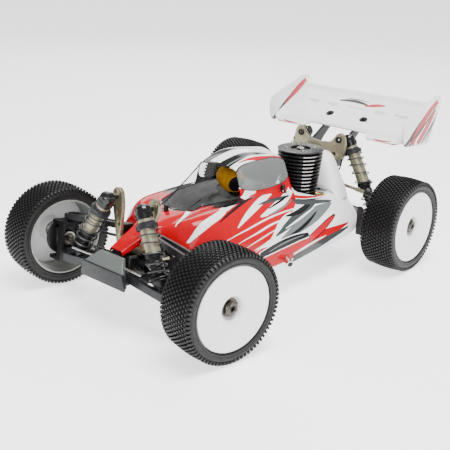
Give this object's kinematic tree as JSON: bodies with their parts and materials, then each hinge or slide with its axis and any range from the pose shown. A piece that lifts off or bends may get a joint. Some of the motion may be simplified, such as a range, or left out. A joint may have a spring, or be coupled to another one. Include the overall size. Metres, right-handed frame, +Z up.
{
  "type": "radio controlled off-road racing buggy",
  "caption": "Off-road racing buggy model with a painted shell, rear wing, pin-tread wheels, coil-over shocks, steering and combustion engine.",
  "frame": {"origin": "on the ground, under the middle of the overall box", "axes": "+X is the left side of the car, -Y is its front, +Z is up"},
  "size_m": [0.3172, 0.5021, 0.1975],
  "materials": {
    "tyre_rubber": "matt black pin tread rubber",
    "dish_white": "plain white moulded nylon",
    "steel": "dull machined steel",
    "arm_plastic": "grey moulded glass-filled nylon",
    "black_plastic": "black moulded nylon",
    "hard_anodised": "khaki hard-anodised aluminium",
    "spring_steel": "grey coated spring wire",
    "aluminium": "bare machined aluminium",
    "wing_white": "white moulded nylon",
    "head_aluminium": "black anodised aluminium with bright fin edges",
    "filter_foam": "oiled yellow foam",
    "tank_plastic": "milky fuel-proof nylon",
    "pipe_aluminium": "polished aluminium tube",
    "shell_plastic": "thin painted polycarbonate, red, white and black"
  },
  "bodies": {
    "chassis": {"chassis_plate": "aluminium", "front_bumper": "arm_plastic", "front_gearbox": "black_plastic", "front_shock_tower": "hard_anodised", "rear_gearbox": "black_plastic", "rear_shock_tower": "hard_anodised", "rear_wing": "wing_white", "wing_mount": "black_plastic", "engine_crankcase": "aluminium", "cylinder_head": "head_aluminium", "air_filter": "filter_foam", "fuel_tank": "tank_plastic", "tuned_pipe": "pipe_aluminium", "steering_servo": "black_plastic", "body_shell": "shell_plastic"},
    "lower_arm_fl": {"lower_arm_fl": "arm_plastic"},
    "upper_arm_fl": {"upper_arm_fl": "arm_plastic"},
    "caster_block_fl": {"caster_block_fl": "black_plastic"},
    "shock_body_fl": {"shock_body_fl": "hard_anodised"},
    "shock_rod_fl": {"shock_rod_fl": "black_plastic", "spring_fl": "spring_steel"},
    "wheel_fl": {"tyre_fl": "tyre_rubber", "rim_fl": "dish_white", "wheel_axle_fl": "steel"},
    "steering_knuckle_fl": {"steering_knuckle_fl": "black_plastic"},
    "drive_shaft_fl": {"drive_shaft_fl": "steel"},
    "lower_arm_fr": {"lower_arm_fr": "arm_plastic"},
    "upper_arm_fr": {"upper_arm_fr": "arm_plastic"},
    "caster_block_fr": {"caster_block_fr": "black_plastic"},
    "shock_body_fr": {"shock_body_fr": "hard_anodised"},
    "shock_rod_fr": {"shock_rod_fr": "black_plastic", "spring_fr": "spring_steel"},
    "wheel_fr": {"tyre_fr": "tyre_rubber", "rim_fr": "dish_white", "wheel_axle_fr": "steel"},
    "steering_knuckle_fr": {"steering_knuckle_fr": "black_plastic"},
    "drive_shaft_fr": {"drive_shaft_fr": "steel"},
    "lower_arm_rl": {"lower_arm_rl": "arm_plastic"},
    "upper_link_rl": {"upper_link_rl": "hard_anodised"},
    "hub_carrier_rl": {"hub_carrier_rl": "black_plastic"},
    "shock_body_rl": {"shock_body_rl": "hard_anodised"},
    "shock_rod_rl": {"shock_rod_rl": "black_plastic", "spring_rl": "spring_steel"},
    "wheel_rl": {"tyre_rl": "tyre_rubber", "rim_rl": "dish_white", "wheel_axle_rl": "steel"},
    "drive_shaft_rl": {"drive_shaft_rl": "steel"},
    "lower_arm_rr": {"lower_arm_rr": "arm_plastic"},
    "upper_link_rr": {"upper_link_rr": "hard_anodised"},
    "hub_carrier_rr": {"hub_carrier_rr": "black_plastic"},
    "shock_body_rr": {"shock_body_rr": "hard_anodised"},
    "shock_rod_rr": {"shock_rod_rr": "black_plastic", "spring_rr": "spring_steel"},
    "wheel_rr": {"tyre_rr": "tyre_rubber", "rim_rr": "dish_white", "wheel_axle_rr": "steel"},
    "drive_shaft_rr": {"drive_shaft_rr": "steel"},
    "steering_plate": {"steering_plate": "hard_anodised"},
    "tie_rod_fl": {"tie_rod_fl": "steel"},
    "tie_rod_fr": {"tie_rod_fr": "steel"}
  },
  "joints": [
    {"name": "arm_fl", "type": "hinge", "parent": "chassis", "child": "lower_arm_fl", "pos_m": [0.022, -0.19114, 0.05107], "axis": [0, -0.9877, 0.1564], "range_deg": [-10, 11], "stiffness_Nm_per_rad": 6, "springref_deg": -2.07},
    {"name": "upper_fl", "type": "hinge", "parent": "chassis", "child": "upper_arm_fl", "pos_m": [0.024, -0.1848, 0.09108], "axis": [0, -0.9877, 0.1564], "range_deg": [-11, 12]},
    {"name": "carrier_fl", "type": "hinge", "parent": "lower_arm_fl", "child": "caster_block_fl", "pos_m": [0.099, -0.19231, 0.04367], "axis": [0, -0.9877, 0.1564], "range_deg": [-12, 11]},
    {"name": "shock_swing_fl", "type": "hinge", "parent": "chassis", "child": "shock_body_fl", "pos_m": [0.0265, -0.19823, 0.12459], "axis": [0, -0.9877, 0.1564], "range_deg": [-3.65, 3.96]},
    {"name": "shock_stroke_fl", "type": "slide", "parent": "shock_body_fl", "child": "shock_rod_fl", "axis": [-0.4958, 0.1359, 0.8578], "range_m": [-0.0079, 0.00859], "deforming": ["spring_fl"]},
    {"name": "steer_fl", "type": "hinge", "parent": "caster_block_fl", "child": "steering_knuckle_fl", "pos_m": [0.108, -0.1902, 0.057], "axis": [0, 0, 1], "range_deg": [-13, 31]},
    {"name": "spin_fl", "type": "hinge", "parent": "steering_knuckle_fl", "child": "wheel_fl", "pos_m": [0.108, -0.1902, 0.057], "axis": [0.9877, -0.1564, 0], "continuous": true},
    {"name": "shaft_spin_fl", "type": "hinge", "parent": "lower_arm_fl", "child": "drive_shaft_fl", "pos_m": [0.02, -0.18957, 0.06095], "axis": [0.999, -0.0071, -0.0448], "continuous": true},
    {"name": "arm_fr", "type": "hinge", "parent": "chassis", "child": "lower_arm_fr", "pos_m": [-0.022, -0.19114, 0.05107], "axis": [0, 0.9877, -0.1564], "range_deg": [-10, 11], "stiffness_Nm_per_rad": 6, "springref_deg": -2.07},
    {"name": "upper_fr", "type": "hinge", "parent": "chassis", "child": "upper_arm_fr", "pos_m": [-0.024, -0.1848, 0.09108], "axis": [0, 0.9877, -0.1564], "range_deg": [-11, 12]},
    {"name": "carrier_fr", "type": "hinge", "parent": "lower_arm_fr", "child": "caster_block_fr", "pos_m": [-0.099, -0.19231, 0.04367], "axis": [0, 0.9877, -0.1564], "range_deg": [-12, 11]},
    {"name": "shock_swing_fr", "type": "hinge", "parent": "chassis", "child": "shock_body_fr", "pos_m": [-0.0265, -0.19823, 0.12459], "axis": [0, 0.9877, -0.1564], "range_deg": [-3.65, 3.96]},
    {"name": "shock_stroke_fr", "type": "slide", "parent": "shock_body_fr", "child": "shock_rod_fr", "axis": [0.4958, 0.1359, 0.8578], "range_m": [-0.0079, 0.00859], "deforming": ["spring_fr"]},
    {"name": "steer_fr", "type": "hinge", "parent": "caster_block_fr", "child": "steering_knuckle_fr", "pos_m": [-0.108, -0.1902, 0.057], "axis": [0, 0, 1], "range_deg": [-14, 32]},
    {"name": "spin_fr", "type": "hinge", "parent": "steering_knuckle_fr", "child": "wheel_fr", "pos_m": [-0.108, -0.1902, 0.057], "axis": [0.9877, -0.1564, 0], "continuous": true},
    {"name": "shaft_spin_fr", "type": "hinge", "parent": "lower_arm_fr", "child": "drive_shaft_fr", "pos_m": [-0.02, -0.18957, 0.06095], "axis": [0.999, 0.0071, 0.0448], "continuous": true},
    {"name": "arm_rl", "type": "hinge", "parent": "chassis", "child": "lower_arm_rl", "pos_m": [0.022, 0.1323, 0.051], "axis": [0, -1, 0], "range_deg": [-10, 11], "stiffness_Nm_per_rad": 6, "springref_deg": -3.78},
    {"name": "upper_rl", "type": "hinge", "parent": "chassis", "child": "upper_link_rl", "pos_m": [0.024, 0.1263, 0.0915], "axis": [0, -1, 0], "range_deg": [-11, 12]},
    {"name": "carrier_rl", "type": "hinge", "parent": "lower_arm_rl", "child": "hub_carrier_rl", "pos_m": [0.099, 0.1323, 0.0435], "axis": [0, -1, 0], "range_deg": [-12, 11]},
    {"name": "shock_swing_rl", "type": "hinge", "parent": "chassis", "child": "shock_body_rl", "pos_m": [0.033, 0.1528, 0.141], "axis": [0, -1, 0], "range_deg": [-3.77, 4.1]},
    {"name": "shock_stroke_rl", "type": "slide", "parent": "shock_body_rl", "child": "shock_rod_rl", "axis": [-0.4825, 0, 0.8759], "range_m": [-0.01031, 0.01124], "deforming": ["spring_rl"]},
    {"name": "spin_rl", "type": "hinge", "parent": "hub_carrier_rl", "child": "wheel_rl", "pos_m": [0.108, 0.1323, 0.057], "axis": [1, 0, 0], "continuous": true},
    {"name": "shaft_spin_rl", "type": "hinge", "parent": "lower_arm_rl", "child": "drive_shaft_rl", "pos_m": [0.02, 0.1323, 0.061], "axis": [0.999, 0, -0.0454], "continuous": true},
    {"name": "arm_rr", "type": "hinge", "parent": "chassis", "child": "lower_arm_rr", "pos_m": [-0.022, 0.1323, 0.051], "axis": [0, 1, 0], "range_deg": [-10, 11], "stiffness_Nm_per_rad": 6, "springref_deg": -3.78},
    {"name": "upper_rr", "type": "hinge", "parent": "chassis", "child": "upper_link_rr", "pos_m": [-0.024, 0.1263, 0.0915], "axis": [0, 1, 0], "range_deg": [-11, 12]},
    {"name": "carrier_rr", "type": "hinge", "parent": "lower_arm_rr", "child": "hub_carrier_rr", "pos_m": [-0.099, 0.1323, 0.0435], "axis": [0, 1, 0], "range_deg": [-12, 11]},
    {"name": "shock_swing_rr", "type": "hinge", "parent": "chassis", "child": "shock_body_rr", "pos_m": [-0.033, 0.1528, 0.141], "axis": [0, 1, 0], "range_deg": [-3.77, 4.1]},
    {"name": "shock_stroke_rr", "type": "slide", "parent": "shock_body_rr", "child": "shock_rod_rr", "axis": [0.4825, 0, 0.8759], "range_m": [-0.01031, 0.01124], "deforming": ["spring_rr"]},
    {"name": "spin_rr", "type": "hinge", "parent": "hub_carrier_rr", "child": "wheel_rr", "pos_m": [-0.108, 0.1323, 0.057], "axis": [1, 0, 0], "continuous": true},
    {"name": "shaft_spin_rr", "type": "hinge", "parent": "lower_arm_rr", "child": "drive_shaft_rr", "pos_m": [-0.02, 0.1323, 0.061], "axis": [0.999, 0, 0.0454], "continuous": true},
    {"name": "drag_slide", "type": "slide", "parent": "chassis", "child": "steering_plate", "axis": [1, 0, 0], "range_m": [-0.01279, 0.00595]},
    {"name": "tie_fl", "type": "hinge", "parent": "steering_plate", "child": "tie_rod_fl", "pos_m": [0.02456, -0.16573, 0.07311], "axis": [0, -0.9877, 0.1564], "range_deg": [-11, 12]},
    {"name": "tie_fr", "type": "hinge", "parent": "steering_plate", "child": "tie_rod_fr", "pos_m": [-0.01768, -0.16886, 0.07311], "axis": [0, 0.9877, -0.1564], "range_deg": [-11, 12]}
  ],
  "couplings": [
    {"joint": "upper_fl", "follows": "arm_fl", "ratio": 1},
    {"joint": "carrier_fl", "follows": "arm_fl", "ratio": -1},
    {"joint": "shock_swing_fl", "follows": "arm_fl", "ratio": 0.3145},
    {"joint": "shock_stroke_fl", "follows": "arm_fl", "m_per_rad": 0.039554},
    {"joint": "shaft_spin_fl", "follows": "spin_fl", "ratio": 1},
    {"joint": "upper_fr", "follows": "arm_fr", "ratio": 1},
    {"joint": "carrier_fr", "follows": "arm_fr", "ratio": -1},
    {"joint": "shock_swing_fr", "follows": "arm_fr", "ratio": 0.3145},
    {"joint": "shock_stroke_fr", "follows": "arm_fr", "m_per_rad": 0.039554},
    {"joint": "shaft_spin_fr", "follows": "spin_fr", "ratio": 1},
    {"joint": "upper_rl", "follows": "arm_rl", "ratio": 1},
    {"joint": "carrier_rl", "follows": "arm_rl", "ratio": -1},
    {"joint": "shock_swing_rl", "follows": "arm_rl", "ratio": 0.32734},
    {"joint": "shock_stroke_rl", "follows": "arm_rl", "m_per_rad": 0.053316},
    {"joint": "shaft_spin_rl", "follows": "spin_rl", "ratio": 1},
    {"joint": "upper_rr", "follows": "arm_rr", "ratio": 1},
    {"joint": "carrier_rr", "follows": "arm_rr", "ratio": -1},
    {"joint": "shock_swing_rr", "follows": "arm_rr", "ratio": 0.32734},
    {"joint": "shock_stroke_rr", "follows": "arm_rr", "m_per_rad": 0.053316},
    {"joint": "shaft_spin_rr", "follows": "spin_rr", "ratio": 1},
    {"joint": "steer_fr", "follows": "steer_fl", "ratio": 1},
    {"joint": "drag_slide", "follows": "steer_fl", "m_per_rad": -0.0218},
    {"joint": "tie_fl", "follows": "arm_fl", "ratio": 1},
    {"joint": "tie_fr", "follows": "arm_fr", "ratio": 1}
  ]
}
